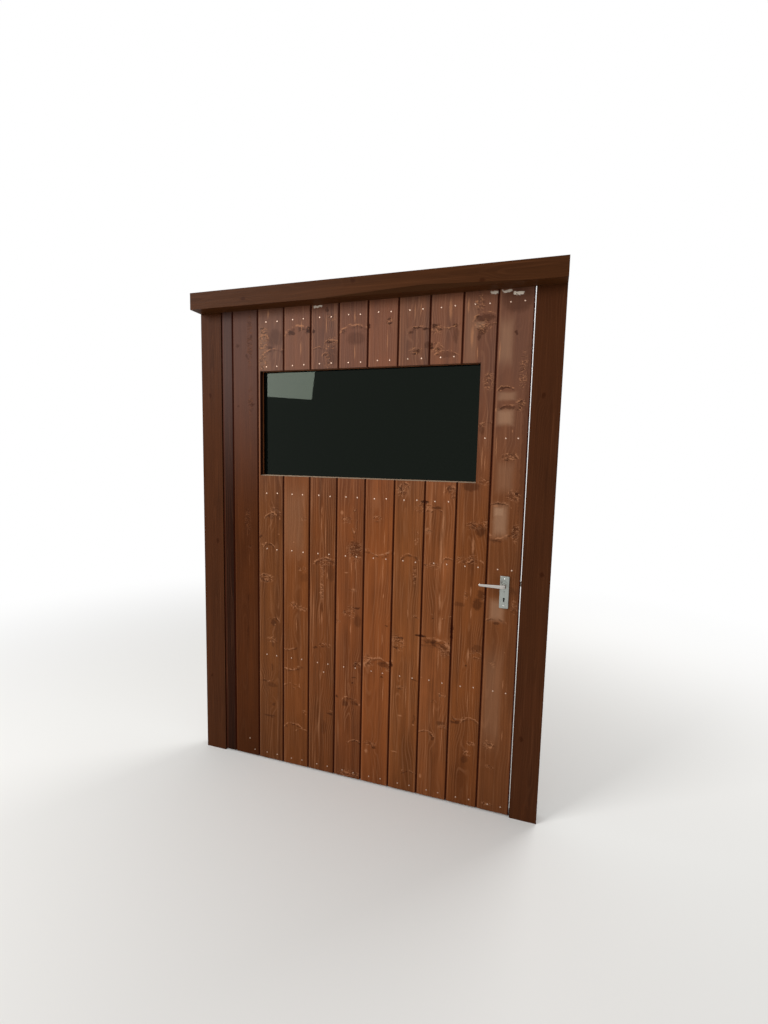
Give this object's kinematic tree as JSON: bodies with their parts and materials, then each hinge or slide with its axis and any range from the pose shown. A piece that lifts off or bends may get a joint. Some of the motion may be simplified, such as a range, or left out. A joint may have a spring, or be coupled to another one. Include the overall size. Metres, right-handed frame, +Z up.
{
  "type": "barn door",
  "caption": "Ledged and braced barn door of upright tongue-and-groove boards with a fixed window, lever handle and lock, hung on strap hinges in a post-and-beam timber frame.",
  "frame": {"origin": "on the floor, in the middle of the whole door in X and Y", "axes": "+X along the door towards the lock side, +Y into the barn (the outer face of the boards looks along -Y), +Z up"},
  "size_m": [1.772, 0.207, 2.425],
  "materials": {
    "stained_boards": "red-brown stain, satin",
    "stained_framework": "red-brown stain, satin",
    "stained_frame_timber": "red-brown stain, satin",
    "window_glass": "clear, dark behind",
    "handle_aluminium": "silver anodised",
    "galvanised_steel": "hot-dip galvanised",
    "zinc_plated_steel": "bright zinc"
  },
  "bodies": {
    "frame": {"head_beam": "stained_frame_timber", "frame_screws": "zinc_plated_steel", "post_hinge_side": "stained_frame_timber", "post_lock_side": "stained_frame_timber", "strike_plate": "zinc_plated_steel", "strike_screws": "zinc_plated_steel", "pintle_bottom": "galvanised_steel", "pintle_middle": "galvanised_steel", "pintle_top": "galvanised_steel", "pintle_screws": "galvanised_steel"},
    "leaf": {"bead_bottom": "stained_framework", "bead_left": "stained_framework", "bead_right": "stained_framework", "bead_top": "stained_framework", "board_01": "stained_boards", "board_02": "stained_boards", "board_03_lower": "stained_boards", "board_03_upper": "stained_boards", "board_04_lower": "stained_boards", "board_04_upper": "stained_boards", "board_05_lower": "stained_boards", "board_05_upper": "stained_boards", "board_06_lower": "stained_boards", "board_06_upper": "stained_boards", "board_07_lower": "stained_boards", "board_07_upper": "stained_boards", "board_08_lower": "stained_boards", "board_08_upper": "stained_boards", "board_09": "stained_boards", "board_10": "stained_boards", "board_hinge_strip": "stained_boards", "brace_lower": "stained_framework", "brace_upper": "stained_framework", "forend_screws": "zinc_plated_steel", "glass_pane": "window_glass", "lock_case": "zinc_plated_steel", "plate_inner": "handle_aluminium", "plate_outer": "handle_aluminium", "plate_screws": "zinc_plated_steel", "rail_bottom": "stained_framework", "rail_lower": "stained_framework", "rail_middle": "stained_framework", "rail_top": "stained_framework", "rail_window_head": "stained_framework", "rail_window_sill": "stained_framework", "stile_hinge": "stained_framework", "stile_lock": "stained_framework", "stile_window_left": "stained_framework", "stile_window_right": "stained_framework", "strap_bottom": "galvanised_steel", "strap_middle": "galvanised_steel", "strap_screws": "galvanised_steel", "strap_top": "galvanised_steel"},
    "lever": {"lever_outer": "handle_aluminium", "lever_inner": "handle_aluminium", "spindle": "zinc_plated_steel", "follower": "zinc_plated_steel"},
    "latch": {"latch_bolt": "zinc_plated_steel"},
    "deadbolt": {"dead_bolt": "zinc_plated_steel"}
  },
  "joints": [
    {"name": "leaf_swing", "type": "hinge", "parent": "frame", "child": "leaf", "pos_m": [-0.776, 0.06255, 1.155], "axis": [0, 0, 1], "range_deg": [0, 105]},
    {"name": "lever_turn", "type": "hinge", "parent": "leaf", "child": "lever", "pos_m": [0.696, 0.0255, 1.088], "axis": [0, -1, 0], "range_deg": [0, 40], "stiffness_Nm_per_rad": 1, "springref_deg": -17.19},
    {"name": "latch_slide", "type": "slide", "parent": "leaf", "child": "latch", "axis": [-1, 0, 0], "range_m": [0, 0.0115]},
    {"name": "deadbolt_slide", "type": "slide", "parent": "leaf", "child": "deadbolt", "axis": [1, 0, 0], "range_m": [0, 0.018]}
  ],
  "couplings": [
    {"joint": "latch_slide", "follows": "lever_turn", "m_per_rad": 0.0155}
  ]
}
